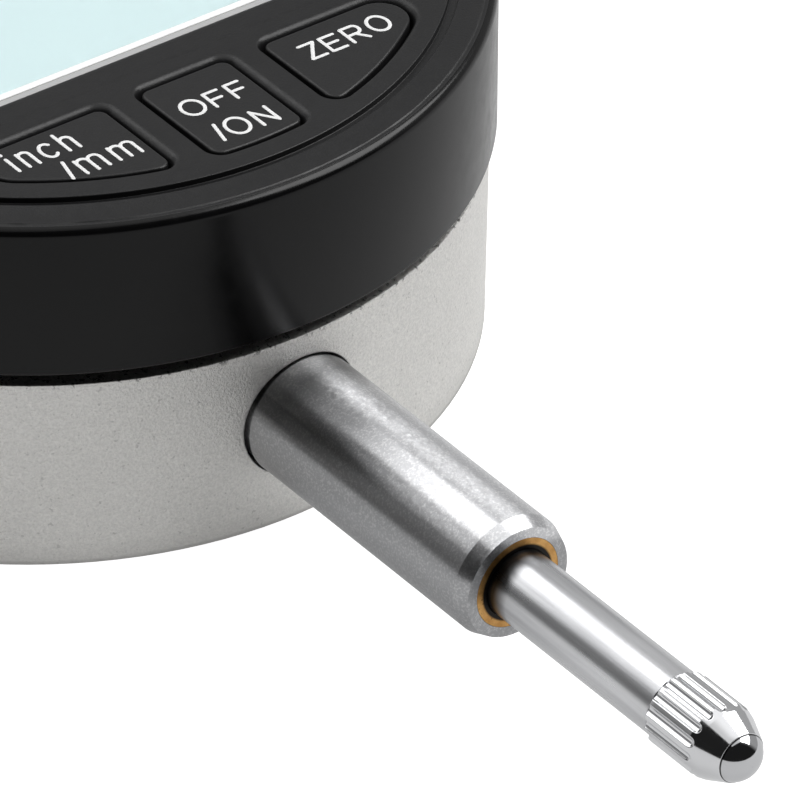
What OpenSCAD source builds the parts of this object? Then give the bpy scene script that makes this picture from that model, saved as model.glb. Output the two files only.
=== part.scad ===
// Digital plunger indicator: a round metal case with a plastic front bezel, a display, three keys
// and a spring-loaded spindle. The origin is the centre of the flat back face. +Z points out of the
// display and the spindle's tip points along -Y. All lengths are millimetres.

/* [Case] */
// Outer radius of the metal case
case_r = 28.2; // [28.1:0.1:28.4]
// Height of the metal case, from the back face to its front edge
case_h = 13; // [12.9:0.1:13.2]
// Height of the spindle's axis above the back face
spindle_z = 7.33; // [7.3:0.01:7.4]

/* [Bezel] */
// Outer radius of the bezel at its lower edge
bezel_r = 28.64; // [28.5:0.01:28.8]
// Outer radius of the bezel's wall just below the rounded rim
bezel_top_r = 28.52; // [28.4:0.01:28.6]
// Height of the bezel's lower edge, which leaves a shadow gap over the case
bezel_z0 = 14; // [13.9:0.1:14.1]
// Height of the flat front face
face_z = 24.65; // [24.6:0.05:24.8]
// Inner radius of the ring groove in the face
groove_r = 25.66; // [25.6:0.01:25.7]
// Width of the ring groove
groove_w = 0.58; // [0.5:0.01:0.7]

/* [Keys] */
// Half of the middle key's width
key_half_w = 3.22; // [3:0.01:3.3]
// Distance from the middle line to the outer keys' inner edges
side_key_x = 5.86; // [5.8:0.01:6]
// Y of the keys' upper edges
key_top_y = -15.75; // [-15.9:0.05:-15.6]
// Radius of the keys' outer edges, round the case axis
key_outer_r = 23.9; // [23.8:0.05:24]
// How far the keys stand proud of the face
key_proud = 0.05; // [0.05:0.05:0.15]
// Key travel
key_travel = 0.4; // [0.3:0.05:0.4]

/* [Stem and spindle] */
// Radius of the mounting stem
stem_r = 4; // [3.95:0.01:4]
// Distance from the case axis to the stem's end face
stem_end = 49.19; // [49:0.01:50]
// Radius of the spindle
spindle_r = 2.22; // [2.2:0.01:2.24]
// Distance from the case axis to the spindle's shoulder, where the contact point starts
shoulder = 64.18; // [64:0.01:64.4]
// Measuring travel of the spindle
travel = 12.7; // [10:0.1:12.7]
// Running clearance of the spindle in its bushes
run_gap = 0.04; // [0.02:0.01:0.06]

/* [Contact point] */
// Radius over the contact point's fluted grip
grip_r = 2.47; // [2.4:0.01:2.55]
// Number of grip flutes
flutes = 16; // [12:1:20]
// Radius of the contact ball
ball_r = 1.75; // [1.7:0.01:1.8]
// Distance from the case axis to the ball's centre
ball_at = 69.31; // [69.2:0.01:69.4]

/* [Hidden] */
$fn = 96;

cut = 0.01;                       // overlap that keeps cuts clean
fit_gap = 0.02;                   // radial gap of a fixed pin in its hole

// Case, rear cover and screws
recess_r = 26.7;                  // seat of the rear cover and its gasket
cover_t = 1.6;
gasket_t = 0.6;
floor_z0 = cover_t + gasket_t;
floor_z1 = 3.6;
bore_r = 24.9;                    // inside of the case wall
spigot_seat_r = 26.9;             // widened mouth for the bezel's spigot
spigot_seat_z = 11.9;
boss_r = 2.6;
boss_xy = 16;                     // the four bosses stand at (+-16, +-16)
board_z0 = 12.3;
board_t = 1.6;
board_z1 = board_z0 + board_t;
stem_hole_r = stem_r + 0.12;

// Bezel
bezel_in_r = 25.2;
spigot_r = 26.75;
spigot_z = 12.55;
plate_z = 22.45;                  // underside of the front plate
rim_r = 27.75;                    // where the face turns into the rounded rim
rim_z = 24.25;                    // top of the rounded rim
rim_round = bezel_top_r - rim_r;
bezel_screw_r = 25.97;            // circle of the four long screws
bezel_screw_angles = [20, 160, 200, 340];

// Display
win_x = 20.3;
win_y0 = -11.85;
win_y1 = 12;
band = 1.25;                      // visible width of the display frame
glass_z0 = 19.8;
glass_z1 = 22.3;
frame_top_z = 24.3;

// Keys
key_gap = 0.35;
flange = 0.7;
flange_z0 = 21.5;
flange_z1 = plate_z - 0.2;
key_z1 = face_z + key_proud;
pad_y = -14.3;                    // upper edge of the key board and membrane

// Battery, data port
cell_y = 18.6;
cell_r = 5.8;
cell_z0 = 15.85;
cell_h = 5.4;
door_x = 8;
door_y = 13.2;
door_lip_y = 26.2;
door_lip_z = 18.5;
rail_w = 0.8;
port_angle = 125;
port_w = 7.6;
port_h = 3.2;
port_z = 18.4;

// Measuring train, as distances down the spindle's axis from the case axis
stem_inner = 19.9;
stem_seat_r = stem_r - 0.2;        // the part of the stem that sits inside the case
stem_seat_end = case_r + 0.1;
bush_len = 10;
bush_r = 2.97;
spindle_top = -29;
carriage_y0 = -18.7;
carriage_y1 = 3.3;
carriage_x = 5.5;
carriage_z0 = 4.2;
carriage_z1 = 11.3;
pin_r = 1;
pin_y = -13.2;
rail_x0 = 9.3;
rail_x1 = 13.2;
spring_x = -9.5;
post_y = -19.6;
hook_y = 2.1;
tube_r = 4.5;
tube_in = 18.6;
tube_out = 37;

// ---- helpers ----

// a box between two corners
module block(x0, x1, y0, y1, z0, z1) {
    translate([x0, y0, z0]) cube([x1 - x0, y1 - y0, z1 - z0]);
}

// an upright disc or ring round the case axis
module ring(r1, r0, z0, z1) {
    difference() {
        translate([0, 0, z0]) cylinder(r = r1, h = z1 - z0);
        if (r0 > 0) translate([0, 0, z0 - 1]) cylinder(r = r0, h = z1 - z0 + 2);
    }
}

// puts local +Z along -Y on the spindle's axis, so that a height is a distance down the spindle
module on_spindle() translate([0, 0, spindle_z]) rotate([90, 0, 0]) children();

// an upright pin
module post(x, y, r, z0, z1) translate([x, y, z0]) cylinder(r = r, h = z1 - z0, $fn = 48);

// the four corner positions, at (+-d, +-d)
module corners(d) for (x = [-d, d], y = [-d, d]) translate([x, y, 0]) children();

// points on an arc
function arc(cx, cy, r, a0, a1, n = 8) =
    [for (i = [0 : n]) let (a = a0 + (a1 - a0) * i / n) [cx + r * cos(a), cy + r * sin(a)]];

// a rounded rectangle's outline
function round_box(x0, x1, y0, y1, r) = concat(
    arc(x1 - r, y1 - r, r, 0, 90), arc(x0 + r, y1 - r, r, 90, 180),
    arc(x0 + r, y0 + r, r, 180, 270), arc(x1 - r, y0 + r, r, 270, 360));

// where a rounding circle of radius r, inside the circle of radius big, sits at a given x or y
function tuck_y(x, big, r) = -sqrt(pow(big - r, 2) - x * x);
function tuck_x(y, big, r) = sqrt(pow(big - r, 2) - y * y);
function turn(p) = 360 + atan2(p[1], p[0]);

// left half of the middle key's outline, grown by g
function half_key(g) = let (r = 0.7 + g, hw = key_half_w + g, top = key_top_y + g,
                            big = key_outer_r + g, cx = -(hw - r), cy = tuck_y(hw - r, big, r))
    concat(arc(cx, top - r, r, 90, 180), arc(cx, cy, r, 180, turn([cx, cy])),
           arc(0, 0, big, turn([cx, cy]), 270, 6));

function middle_key(g) = let (h = half_key(g))
    concat(h, [for (i = [len(h) - 2 : -1 : 0]) [-h[i][0], h[i][1]]]);

// the right-hand outer key's outline, grown by g; the left-hand one is its mirror image
function side_key(g) = let (r = 0.7 + g, ro = 1.8 + g, x0 = side_key_x - g, top = key_top_y + g,
                            big = key_outer_r + g, ix = x0 + r, iy = tuck_y(x0 + r, big, r),
                            oy = top - ro, ox = tuck_x(top - ro, big, ro))
    concat(arc(ix, top - r, r, 90, 180), arc(ix, iy, r, 180, turn([ix, iy])),
           arc(0, 0, big, turn([ix, iy]), turn([ox, oy]), 12),
           arc(ox, oy, ro, turn([ox, oy]), 450));

module key_shape(which, g) {
    if (which == 0) polygon(middle_key(g));
    else mirror([which < 0 ? 1 : 0, 0]) polygon(side_key(g));
}

// a key cap: which is -1, 0 or 1 from left to right
module key_cap(which) {
    plunger_x = which * 10.5;
    translate([0, 0, flange_z0]) linear_extrude(flange_z1 - flange_z0) key_shape(which, flange);
    translate([0, 0, flange_z1]) linear_extrude(key_z1 - 0.2 - flange_z1) key_shape(which, 0);
    translate([0, 0, key_z1 - 0.2]) linear_extrude(0.2) key_shape(which, -0.12);
    post(plunger_x, -19.6, 1.2, flange_z0 - 0.3, flange_z0);
}

// the bezel's solid outer form, which the bezel and its sliding covers share
module bezel_form() {
    rotate_extrude($fn = 180) polygon(concat(
        [[0, bezel_z0], [bezel_r, bezel_z0]],
        arc(rim_r, rim_z - rim_round, rim_round, 0, 80, 6),
        [[groove_r + groove_w, face_z - 0.1], [groove_r + groove_w, face_z - 0.4],
         [groove_r, face_z - 0.4], [groove_r, face_z], [0, face_z]]));
}

module port_frame() rotate([0, 0, port_angle]) children();

// ---- case ----

module body_housing() color("silver") difference() {
    union() {
        difference() {
            ring(case_r, 0, 0, case_h);
            ring(recess_r, 0, -1, floor_z0);
            ring(bore_r, 0, floor_z1, case_h + 1);
            ring(spigot_seat_r, 0, spigot_seat_z, case_h + 1);
            block(-7.5, 7.5, -16, 16, 0, floor_z1 + 1);
        }
        corners(boss_xy) post(0, 0, boss_r, floor_z1 - cut, board_z0);
        intersection() {
            ring(bore_r + 1, 0, floor_z1 - cut, 11.85);
            union() {
                block(-6.5, 6.5, -26, -20.5, 0, 12);
                block(-6.5, 6.5, 19.5, 26, 0, 12);
            }
        }
    }
    on_spindle() translate([0, 0, 18]) cylinder(r = stem_seat_r + fit_gap, h = 7);
    on_spindle() translate([0, 0, 24.8]) cylinder(r = stem_hole_r, h = 6);
    on_spindle() translate([0, 0, -30]) cylinder(r = tube_r + fit_gap, h = 14);
    translate([0, -23, spindle_z]) rotate([0, 90, 0]) cylinder(r = 1.27, h = 8, $fn = 48);
    corners(boss_xy) post(0, 0, 1 + fit_gap, floor_z0 - 1, 7.8);
    corners(boss_xy) post(0, 0, 1 + fit_gap, 8.6, board_z0 + 1);
    for (a = bezel_screw_angles) rotate([0, 0, a]) {
        post(bezel_screw_r, 0, 0.62, floor_z0 - 1, case_h);
        post(bezel_screw_r, 0, 1.25, floor_z0 - cut, floor_z0 + 1);
    }
    for (y = [-17.2, 3.4]) post(11.3, y, 0.8 + fit_gap, floor_z0 - 1, floor_z1 + 1);
    post(spring_x, post_y, 0.9 + fit_gap, floor_z0 - 1, floor_z1 + 1);
}

module back_cover() color("silver") difference() {
    ring(recess_r - 0.1, 0, 0, cover_t);
    corners(boss_xy) {
        post(0, 0, 1.1, -1, cover_t + 1);
        translate([0, 0, -cut]) cylinder(r1 = 2, r2 = 1.05, h = 1.1, $fn = 48);
    }
}

module back_gasket() color("dimgray") difference() {
    ring(recess_r - 0.1, 24.7, cover_t, floor_z0);
    corners(boss_xy) post(0, 0, 1.3, 0, 3);
}

module back_screws() color("gainsboro") corners(boss_xy) difference() {
    union() {
        translate([0, 0, 0.05]) cylinder(r1 = 1.85, r2 = 1, h = 0.95, $fn = 48);
        post(0, 0, 1, 0.9, 7.4);
    }
    block(-1.4, 1.4, -0.22, 0.22, -1, 0.45);
    block(-0.22, 0.22, -1.4, 1.4, -1, 0.45);
}

module stem() color("lightgray") on_spindle() rotate_extrude() polygon([
    [spindle_r + 0.4, stem_inner], [stem_seat_r, stem_inner], [stem_seat_r, stem_seat_end],
    [stem_r, stem_seat_end], [stem_r, stem_end - 1], [stem_r - 0.34, stem_end],
    [bush_r + fit_gap, stem_end], [bush_r + fit_gap, stem_end - bush_len],
    [spindle_r + 0.4, stem_end - bush_len]]);

module stem_bush() color("peru") on_spindle() difference() {
    translate([0, 0, stem_end - bush_len]) cylinder(r = bush_r, h = bush_len);
    translate([0, 0, stem_end - bush_len - 1]) cylinder(r = spindle_r + run_gap, h = bush_len + 2);
}

module stem_set_screw() color("gray") translate([stem_seat_r + 0.05, -23, spindle_z])
    rotate([0, 90, 0]) difference() {
        cylinder(r = 1.25, h = 2.3, $fn = 48);
        translate([0, 0, 1.4]) cylinder(r = 0.7, h = 2, $fn = 6);
    }

module top_tube() color("lightgray") on_spindle() difference() {
    union() {
        translate([0, 0, -30]) cylinder(r = tube_r, h = 30 - tube_in);
        translate([0, 0, -tube_out]) cylinder(r = 3.4, h = tube_out - 30 + cut);
    }
    translate([0, 0, -tube_out - 1]) cylinder(r = 2.6, h = tube_out - tube_in + 2);
}

module upper_bush() color("peru") on_spindle() difference() {
    translate([0, 0, -tube_in - 6]) cylinder(r = 2.6 - fit_gap, h = 6);
    translate([0, 0, -tube_in - 7]) cylinder(r = spindle_r + run_gap, h = 8);
}

module dust_cap() color("lightgray") on_spindle() difference() {
    rotate_extrude() polygon([[0, -45], [3.6, -45], [4.3, -44.3], [4.3, -41], [3.8, -40.8],
                              [3.8, -40.2], [4.3, -40], [4.3, -30.9], [4, -30.6], [0, -30.6]]);
    translate([0, 0, -tube_out - 0.3]) cylinder(r = 3.42, h = 10);
    translate([0, 0, -43.3]) cylinder(r = 2.6, h = 10);
    for (i = [0 : 23]) rotate([0, 0, i * 15])
        translate([4.42, 0, -39.5]) cylinder(r = 0.3, h = 7.8, $fn = 16);
}

// ---- parts fixed inside the case ----

module guide_rail() color("silver") difference() {
    block(rail_x0, rail_x1, -18.6, 4.8, floor_z1, 9.4);
    block(rail_x0 - 1, 12.6, pin_y - 2, pin_y + travel + 2, spindle_z - pin_r - 0.05,
          spindle_z + pin_r + 0.05);
    for (y = [-17.2, 3.4]) post(11.3, y, 0.8 + fit_gap, 0, 12);
}

module guide_rail_screws() color("gainsboro") for (y = [-17.2, 3.4]) {
    post(11.3, y, 0.8, floor_z0 + 0.2, 9.5);
    difference() {
        post(11.3, y, 1.4, 9.4, 10.2);
        block(9.5, 13, y - 0.2, y + 0.2, 9.9, 11);
    }
}

module spring_post() color("gainsboro") {
    post(spring_x, post_y, 0.9, floor_z0 + 0.2, 9.6);
    post(spring_x, post_y, 1.3, 8.8, 9.6);
}

// closed tube of the coil's outer size, with an eye at each end
module return_spring() color("darkgray") {
    translate([spring_x, 0, spindle_z]) rotate([90, 0, 0]) difference() {
        translate([0, 0, -0.3]) cylinder(r = 1.6, h = 18.3, $fn = 48);
        translate([0, 0, -2]) cylinder(r = 1.1, h = 22, $fn = 48);
    }
    for (y = [post_y, hook_y]) translate([spring_x, y, spindle_z])
        rotate_extrude($fn = 48) translate([1.3, 0]) circle(r = 0.25, $fn = 16);
}

// ---- front ----

module front_bezel() color([0.16, 0.16, 0.17]) difference() {
    union() {
        difference() {
            bezel_form();
            ring(bezel_in_r, 0, bezel_z0 - 1, plate_z);
        }
        ring(spigot_r, bezel_in_r, spigot_z, bezel_z0 + 0.5);
    }
    translate([0, 0, plate_z - 1]) linear_extrude(4)
        polygon(round_box(-win_x, win_x, win_y0, win_y1, 0.8));
    for (k = [-1 : 1]) translate([0, 0, plate_z - 1]) linear_extrude(4) key_shape(k, key_gap);
    for (a = bezel_screw_angles) rotate([0, 0, a]) post(bezel_screw_r, 0, 0.62, 12, 18.5);
    block(-door_x - 0.1, door_x + 0.1, door_y - 0.1, 31, plate_z - 1, 26);
    block(-door_x - 0.1, door_x + 0.1, door_lip_y - 0.1, 31, door_lip_z - 0.1, 26);
    block(-door_x - rail_w - 0.1, door_x + rail_w + 0.1, door_y + 0.6, 31, 22.9, 23.7);
    port_frame() block(24, 31, -port_w / 2 - 0.1, port_w / 2 + 0.1, port_z - port_h / 2 - 0.1,
                       port_z + port_h / 2 + 0.1);
}

module bezel_gasket() color("dimgray") difference() {
    ring(spigot_seat_r - 0.1, 25.3, spigot_seat_z + 0.02, spigot_z - 0.02);
    for (a = bezel_screw_angles) rotate([0, 0, a]) post(bezel_screw_r, 0, 0.7, 11, 14);
}

module bezel_screws() color("gainsboro") for (a = bezel_screw_angles) rotate([0, 0, a]) {
    post(bezel_screw_r, 0, 0.6, floor_z0 + 0.8, 18);
    difference() {
        post(bezel_screw_r, 0, 1.2, floor_z0 + 0.05, floor_z0 + 0.9);
        block(bezel_screw_r - 2, bezel_screw_r + 2, -0.15, 0.15, floor_z0 - 1, floor_z0 + 0.4);
    }
}

module lcd_window() color("lightcyan") translate([0, 0, glass_z1 + 0.1])
    linear_extrude(frame_top_z - 0.2 - glass_z1 - 0.1)
    polygon(round_box(-win_x + band + 0.05, win_x - band - 0.05, win_y0 + band + 0.05,
                      win_y1 - band - 0.05, 0.4));

module lcd_frame() color("white") difference() {
    union() {
        intersection() {
            ring(25, 0, 21.3, plate_z - 0.05);
            block(-22.3, 22.3, -13.2, 13.1, 21, 23);
        }
        translate([0, 0, plate_z - 0.1]) linear_extrude(frame_top_z - plate_z + 0.1)
            polygon(round_box(-win_x + 0.1, win_x - 0.1, win_y0 + 0.1, win_y1 - 0.1, 0.7));
    }
    block(-20.8, 20.8, -12.4, 12.5, 20, glass_z1 + 0.05);
    translate([0, 0, 20]) linear_extrude(6)
        polygon(round_box(-win_x + band, win_x - band, win_y0 + band, win_y1 - band, 0.4));
}

module lcd_glass() color("lightcyan") block(-20.6, 20.6, -12.2, 12.35, glass_z0, glass_z1);

module zebra_strips() color("dimgray") for (y = [-9.8, 9.8])
    block(-18, 18, y - 0.8, y + 0.8, board_z1, glass_z0);

module display_carrier() color("white") difference() {
    intersection() {
        ring(24.8, 0, board_z1, 23);
        union() {
            block(-25, 25, -25, 25, 15.4, 16.2);
            for (y = [-11.9, 10.9]) block(-20, 20, y, y + 1, 16.1, glass_z0);
            translate([0, cell_y, 14.4]) cylinder(r = 7, h = 5.3);
            difference() {
                block(-20, 20, -25, -14.4, 16.1, 18.4);
                ring(23.6, 0, 15, 20);
                block(-20, 20, -14.9, -14, 15, 20);
            }
            block(-19, 19, -15.4, -14.4, 16.1, 18.4);
            for (x = [-22, 22]) post(x, 0, 1.5, board_z1, 15.5);
        }
    }
    translate([0, cell_y, 15.2]) cylinder(r = 6.3, h = 8);
    for (y = [-9.8, 9.8]) block(-18.2, 18.2, y - 1, y + 1, 15, 17);
    block(-3.5, 3.5, -14.35, -13.7, 15, 19);
}

module key_pad(z0, z1) intersection() {
    ring(24.8, 0, z0, z1);
    block(-25, 25, -25, pad_y, z0 - 1, z1 + 1);
}

module key_board() color("darkgreen") key_pad(18.4, 19.6);

module key_ribbon() color("orange") block(-3, 3, -14.25, -14.1, board_z1, 19.5);

module key_membrane() color("gray") {
    key_pad(19.6, 20.2);
    for (x = [-10.5, 0, 10.5]) translate([x, -19.6, 20.2]) cylinder(r1 = 2.6, r2 = 1.4, h = 0.55);
}

module main_board() color("darkgreen") difference() {
    ring(24.2, 0, board_z0, board_z1);
    corners(boss_xy) post(0, 0, 1.1, board_z0 - 1, board_z1 + 1);
}

module board_screws() color("gainsboro") corners(boss_xy) difference() {
    union() {
        post(0, 0, 1, 9, board_z1 + 0.1);
        post(0, 0, 1.9, board_z1, board_z1 + 1.2);
    }
    block(-1.4, 1.4, -0.22, 0.22, board_z1 + 0.7, board_z1 + 2);
    block(-0.22, 0.22, -1.4, 1.4, board_z1 + 0.7, board_z1 + 2);
}

module stator_strip() color("goldenrod") block(-6, 6, -19.8, 17, board_z0 - 0.15, board_z0);

module controller_blob() color("black") translate([-8, -4, 0]) rotate_extrude() polygon([
    [0, board_z1], [3.8, board_z1], [3.4, board_z1 + 0.5], [2.4, board_z1 + 0.9],
    [1.2, board_z1 + 1.1], [0, board_z1 + 1.15]]);

module timing_crystal() color("silver") translate([7, -6, board_z1 + 0.65])
    rotate([0, 90, 0]) cylinder(r = 0.65, h = 5, $fn = 48);

module battery_cell() color("silver") translate([0, cell_y, cell_z0]) {
    cylinder(r = 4.9, h = 0.5);
    translate([0, 0, 0.4]) cylinder(r = cell_r, h = cell_h - 0.4);
}

module battery_contact_minus() color("gold") {
    block(-2.5, 2.5, cell_y - 4, cell_y + 4, 15.25, 15.55);
    post(0, cell_y, 1, 15.5, cell_z0 - 0.02);
}

module battery_contact_plus() color("gold") {
    block(-1, 1, cell_y - 4, 24.7, 21.55, 21.85);
    block(-1, 1, 24.45, 24.7, 15.3, 21.85);
}

module data_port_contacts() color("dimgray") port_frame() {
    block(23, 24.6, -port_w / 2, port_w / 2, port_z - 1.6, port_z + 1.6);
    for (i = [-1.5 : 1 : 1.5]) block(24.5, 25, i * 1.7 - 0.45, i * 1.7 + 0.45, port_z - 1.2,
                                     port_z + 1.2);
}

// ---- measuring train ----

module spindle() color("gainsboro") on_spindle() difference() {
    rotate_extrude() polygon([[0, spindle_top], [spindle_r - 0.4, spindle_top],
        [spindle_r, spindle_top + 0.4], [spindle_r, shoulder - 0.15],
        [spindle_r - 0.15, shoulder], [0, shoulder]]);
    translate([0, 0, shoulder - 5]) cylinder(r = 1.25, h = 6, $fn = 48);
}

module contact_point() color("white") on_spindle() difference() {
    union() {
        rotate_extrude() polygon([[0, shoulder + 0.02], [grip_r - 0.12, shoulder + 0.02],
            [grip_r, shoulder + 0.14], [grip_r, 68], [2.3, 68.55], [1.62, 70.05], [0, 70.05]]);
        translate([0, 0, shoulder - 4.6]) cylinder(r = 1.23, h = 5, $fn = 48);
    }
    translate([0, 0, ball_at]) sphere(r = ball_r + fit_gap, $fn = 64);
    for (i = [0 : flutes - 1]) rotate([0, 0, 360 * i / flutes]) {
        translate([grip_r + 0.14, 0, shoulder - 0.2]) cylinder(r = 0.34, h = 4.1, $fn = 24);
        translate([grip_r + 0.14, 0, shoulder + 3.9]) sphere(r = 0.34, $fn = 24);
    }
}

module contact_ball() color("silver") on_spindle() translate([0, 0, ball_at])
    sphere(r = ball_r, $fn = 64);

module stop_washer() color("dimgray") on_spindle() difference() {
    translate([0, 0, 18.75]) cylinder(r = 3.6, h = 1);
    translate([0, 0, 18]) cylinder(r = spindle_r + fit_gap, h = 3);
}

module carriage() color("silver") difference() {
    union() {
        block(-carriage_x, carriage_x, carriage_y0, carriage_y1, carriage_z0, carriage_z1);
        block(-11.3, -carriage_x + cut, 0.9, carriage_y1, carriage_z0, 6.4);
    }
    on_spindle() translate([0, 0, -10]) cylinder(r = spindle_r + fit_gap, h = 40);
    for (y = [-14, -2]) translate([-carriage_x - 1, y, spindle_z])
        rotate([0, 90, 0]) cylinder(r = 1 + fit_gap, h = carriage_x, $fn = 48);
    translate([3.4, pin_y, spindle_z]) rotate([0, 90, 0])
        cylinder(r = pin_r + fit_gap, h = 5, $fn = 48);
    post(spring_x, hook_y, 0.8 + fit_gap, 0, 8);
}

module carriage_screws() color("gray") for (y = [-14, -2])
    translate([-carriage_x + 0.2, y, spindle_z]) rotate([0, 90, 0]) difference() {
        cylinder(r = 1, h = carriage_x - spindle_r - 0.25, $fn = 48);
        translate([0, 0, -1]) cylinder(r = 0.55, h = 2, $fn = 6);
    }

module guide_pin() color("gainsboro") translate([3.5, pin_y, spindle_z]) rotate([0, 90, 0])
    cylinder(r = pin_r, h = 8.9, $fn = 48);

module moving_scale() color("seagreen")
    block(-5.2, 5.2, carriage_y0 + 0.2, carriage_y1 - 0.2, carriage_z1, carriage_z1 + 0.6);

module spring_hook() color("gainsboro") {
    post(spring_x, hook_y, 0.8, carriage_z0 + 0.1, 9.4);
    post(spring_x, hook_y, 1.2, 8.7, 9.4);
}

// ---- keys and covers ----

module key_unit() color([0.18, 0.18, 0.19]) key_cap(-1);

module key_power() color([0.18, 0.18, 0.19]) key_cap(0);

module key_zero() color([0.18, 0.18, 0.19]) key_cap(1);

module battery_door() color([0.16, 0.16, 0.17]) union() {
    intersection() {
        bezel_form();
        union() {
            block(-door_x, door_x, door_y, 30, plate_z + 0.05, 26);
            block(-door_x, door_x, door_lip_y, 30, door_lip_z, 26);
        }
    }
    block(-door_x - rail_w, door_x + rail_w, door_y + 0.7, 20, 23, 23.6);
}

module data_port_cover() color([0.16, 0.16, 0.17]) intersection() {
    bezel_form();
    port_frame() block(25.4, 30, -port_w / 2, port_w / 2, port_z - port_h / 2,
                       port_z + port_h / 2);
}

body_housing();
back_cover();
back_gasket();
back_screws();
stem();
stem_bush();
stem_set_screw();
top_tube();
upper_bush();
dust_cap();
guide_rail();
guide_rail_screws();
spring_post();
return_spring();
front_bezel();
bezel_gasket();
bezel_screws();
lcd_window();
lcd_frame();
lcd_glass();
zebra_strips();
display_carrier();
key_board();
key_ribbon();
key_membrane();
main_board();
board_screws();
stator_strip();
controller_blob();
timing_crystal();
battery_cell();
battery_contact_minus();
battery_contact_plus();
data_port_contacts();
spindle();
contact_point();
contact_ball();
stop_washer();
carriage();
carriage_screws();
guide_pin();
moving_scale();
spring_hook();
key_unit();
key_power();
key_zero();
battery_door();
data_port_cover();
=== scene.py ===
"""A digital plunger indicator, dressed around its CAD frame.

Shapes are built in millimetres and scaled to metres at the end. The frame's origin is the centre of
the flat back, +Z points out of the display and the spindle's tip points along -Y.
"""

from math import atan2, cos, degrees, hypot, pi, radians, sin, sqrt, tan

import bmesh
import bpy
from mathutils import Matrix, Vector, noise

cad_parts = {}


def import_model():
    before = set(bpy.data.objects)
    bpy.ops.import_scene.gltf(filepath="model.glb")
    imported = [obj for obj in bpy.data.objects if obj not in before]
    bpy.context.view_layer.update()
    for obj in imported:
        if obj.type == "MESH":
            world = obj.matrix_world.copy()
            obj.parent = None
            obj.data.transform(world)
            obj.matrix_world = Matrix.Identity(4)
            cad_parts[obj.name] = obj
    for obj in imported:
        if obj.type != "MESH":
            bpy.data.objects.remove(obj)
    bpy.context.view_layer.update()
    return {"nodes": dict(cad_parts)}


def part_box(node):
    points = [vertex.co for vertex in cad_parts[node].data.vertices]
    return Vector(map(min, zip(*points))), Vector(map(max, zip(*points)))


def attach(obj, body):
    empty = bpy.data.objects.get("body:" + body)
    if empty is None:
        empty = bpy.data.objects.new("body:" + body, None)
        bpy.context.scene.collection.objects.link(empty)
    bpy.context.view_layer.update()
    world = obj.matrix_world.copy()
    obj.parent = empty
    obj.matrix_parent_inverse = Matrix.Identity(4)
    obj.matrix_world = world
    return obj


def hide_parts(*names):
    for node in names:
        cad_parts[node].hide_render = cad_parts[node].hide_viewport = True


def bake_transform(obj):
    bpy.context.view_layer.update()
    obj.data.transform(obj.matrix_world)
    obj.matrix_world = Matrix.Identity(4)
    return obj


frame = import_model()
scene = bpy.context.scene

MM = 0.001


def box_mm(node):
    """A CAD node's lowest and highest corners, in millimetres."""
    low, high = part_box(node)
    return Vector(low) / MM, Vector(high) / MM


# ---- sizes, from the frame and its few driving dimensions ----

BEZEL_LOW, BEZEL_HIGH = box_mm("front_bezel")
CASE_TOP_Z = box_mm("body_housing")[1].z
STEM_LOW, STEM_HIGH = box_mm("stem")
POWER_LOW, POWER_HIGH = box_mm("key_power")
ZERO_LOW = box_mm("key_zero")[0]
GLASS_LOW, GLASS_HIGH = box_mm("lcd_glass")
WINDOW_LOW, WINDOW_HIGH = box_mm("lcd_window")
FRAME_TOP = box_mm("lcd_frame")[1].z
DOOR_LOW, DOOR_HIGH = box_mm("battery_door")
TIP_LOW, TIP_HIGH = box_mm("contact_point")
POST_LOW, POST_HIGH = box_mm("spring_post")
HOOK_LOW, HOOK_HIGH = box_mm("spring_hook")

FACE_Z = BEZEL_HIGH.z
BEZEL_R = BEZEL_HIGH.x
BEZEL_TOP_R = BEZEL_R - 0.12
SKIRT_Z = CASE_TOP_Z + 1.0
SPIGOT_Z = BEZEL_LOW.z
SPIGOT_R = BEZEL_R - 1.89
BEZEL_IN_R = BEZEL_R - 3.44
PLATE_Z = FACE_Z - 2.2
GROOVE_R = BEZEL_R - 2.98
GROOVE_W = 0.58
RIM_R = BEZEL_R - 0.89
RIM_Z = FACE_Z - 0.4
RIM_ROUND = BEZEL_TOP_R - RIM_R
SCREW_R = BEZEL_R - 2.67
SCREW_ANGLES = (20, 160, 200, 340)

FLANGE = 0.7
KEY_GAP = 0.35
INK_HALF = 0.124
INK_FLAT = 0.2
KEY_TOP_Z = POWER_HIGH.z - 0.02
INK_Z = POWER_HIGH.z - INK_HALF * INK_FLAT
KEY_LOW_Z = POWER_LOW.z + 0.3
KEY_HALF_W = POWER_HIGH.x - FLANGE
KEY_TOP_Y = POWER_HIGH.y - FLANGE
KEY_OUTER_R = -POWER_LOW.y - FLANGE
SIDE_KEY_X = ZERO_LOW.x + FLANGE
PLUNGER_Y = -19.6
SIDE_PLUNGER_X = 10.5

WIN_X = WINDOW_HIGH.x + 1.3
WIN_Y0 = WINDOW_LOW.y - 1.3
WIN_Y1 = WINDOW_HIGH.y + 1.3
FRAME_BAND = 1.25

DOOR_X = DOOR_HIGH.x - 0.8
DOOR_Y = DOOR_LOW.y
DOOR_LIP_Y = 26.2
DOOR_LIP_Z = DOOR_LOW.z
PORT_ANGLE = radians(125)
PORT_HALF_W = 3.8
PORT_FOOT = 16.8
PORT_TOP = 20.0

AXIS_Z = (STEM_LOW.z + STEM_HIGH.z) / 2
ROOT_Y = -30
SHOULDER = -TIP_HIGH.y + 4.6
TIP_END = -TIP_LOW.y
GRIP_R = TIP_HIGH.x
BALL_AT = TIP_END - 0.74
BALL_SEAT_R = 1.77
FLUTES = 16


# ---- outlines and profiles ----

def arc(cx, cy, r, a0, a1, n=10):
    """Points on an arc, angles in degrees."""
    angles = [radians(a0 + (a1 - a0) * i / n) for i in range(n + 1)]
    return [(cx + r * cos(a), cy + r * sin(a)) for a in angles]


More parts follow.
